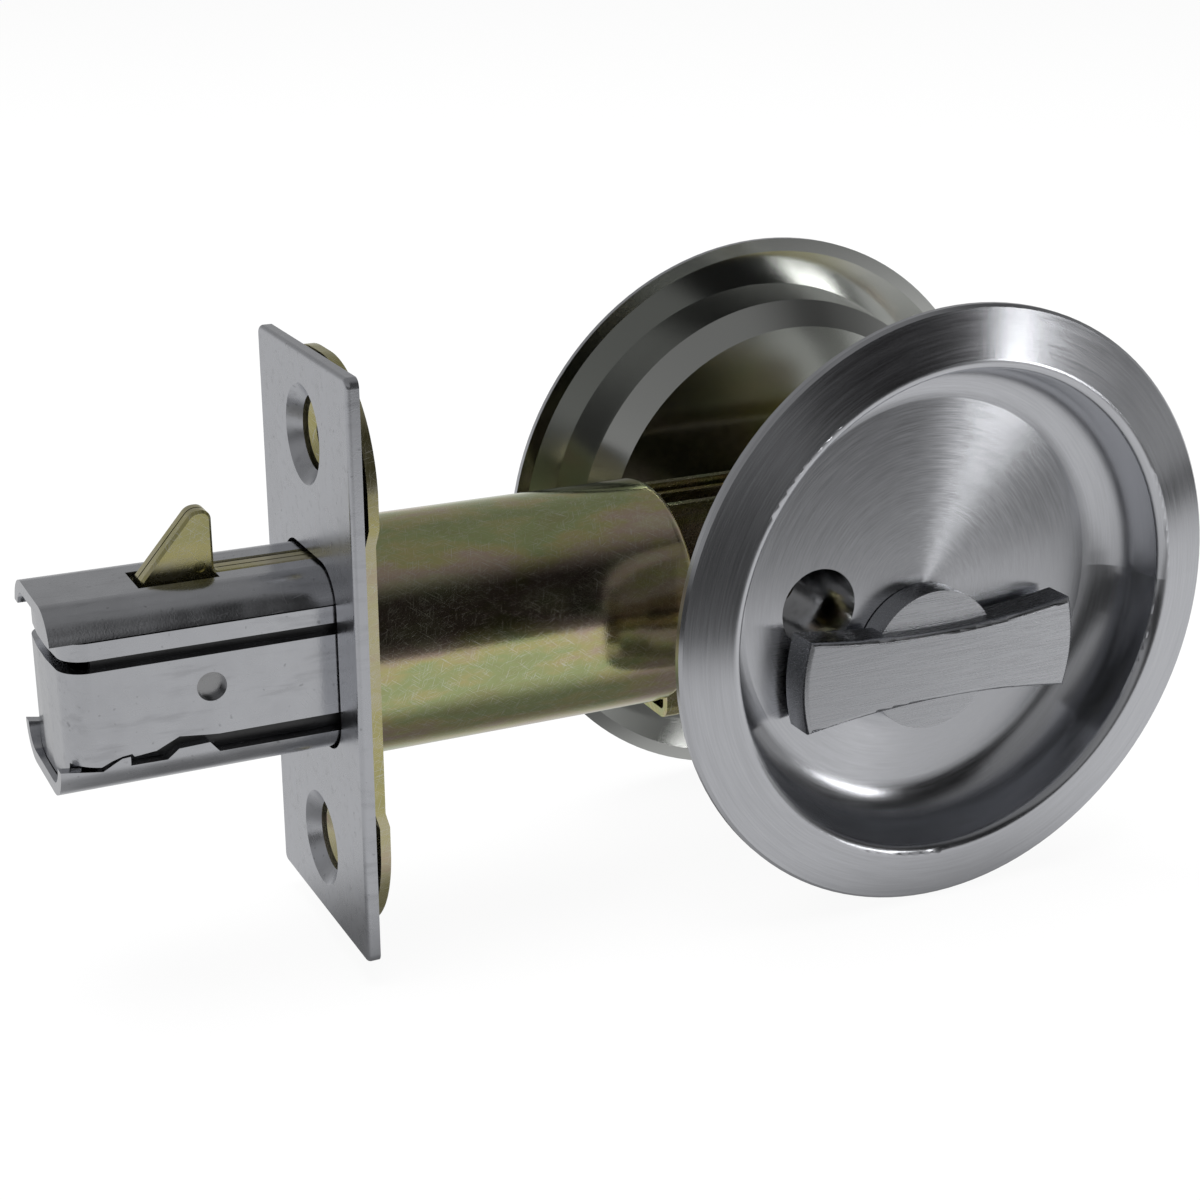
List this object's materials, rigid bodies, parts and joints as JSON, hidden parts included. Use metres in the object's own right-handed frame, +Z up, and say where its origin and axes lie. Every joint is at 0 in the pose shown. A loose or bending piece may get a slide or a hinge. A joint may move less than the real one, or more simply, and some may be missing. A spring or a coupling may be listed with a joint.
{
  "type": "pocket door pull with privacy latch",
  "caption": "Round flush pulls for a sliding pocket door, with an off-centre thumbturn that draws back a tubular edge latch whose box bolt carries a drop-in hook.",
  "frame": {"origin": "middle of the faceplate's front face, on the latch's centre line, between the two faceplate screw holes", "axes": "+X into the door, from the faceplate towards the pulls; +Y through the door, from the thumbturn side to the release side; +Z up, the way the hook points"},
  "size_m": [0.1175, 0.042, 0.062],
  "materials": {
    "satin_chrome": "satin chrome, brushed in circles",
    "satin_plate": "fine satin",
    "bright_zinc": "bright zinc plate",
    "yellow_zinc": "yellow chromate over zinc"
  },
  "bodies": {
    "case": {"faceplate": "satin_plate", "backplate": "yellow_zinc", "latch_tube": "yellow_zinc", "hub_case": "yellow_zinc", "thumbturn_pull": "satin_chrome", "release_pull": "satin_chrome", "thumbturn_pull_sleeves": "bright_zinc", "release_pull_sleeves": "bright_zinc"},
    "thumbturn": {"thumbturn": "satin_chrome", "release_button": "satin_chrome", "thumbturn_clip": "bright_zinc", "release_clip": "bright_zinc", "spindle": "bright_zinc", "hub_fork": "yellow_zinc"},
    "bolt": {"bolt_top_channel": "bright_zinc", "bolt_bottom_channel": "bright_zinc", "bolt_nose_strap": "bright_zinc", "bolt_band": "bright_zinc", "bolt_liner_near": "bright_zinc", "bolt_liner_far": "bright_zinc", "drive_rail_near": "yellow_zinc", "drive_rail_far": "yellow_zinc", "bolt_rivets": "bright_zinc", "drive_pin": "bright_zinc", "hook_pivot_pin": "bright_zinc"},
    "hook": {"hook_ply_near": "yellow_zinc", "hook_ply_far": "yellow_zinc", "hook_rivet": "yellow_zinc"}
  },
  "joints": [
    {"name": "thumbturn_turn", "type": "hinge", "parent": "case", "child": "thumbturn", "pos_m": [0.0603, 0, -0.0062], "axis": [0, 1, 0], "range_deg": [0, 90]},
    {"name": "bolt_slide", "type": "slide", "parent": "case", "child": "bolt", "axis": [1, 0, 0], "range_m": [0, 0.0262]},
    {"name": "hook_pivot", "type": "hinge", "parent": "bolt", "child": "hook", "pos_m": [0.016, 0, -0.0015], "axis": [0, -1, 0], "range_deg": [0, 25]}
  ],
  "couplings": [
    {"joint": "bolt_slide", "follows": "thumbturn_turn", "m_per_rad": 0.01668},
    {"joint": "hook_pivot", "follows": "thumbturn_turn", "ratio": 0.27777}
  ]
}
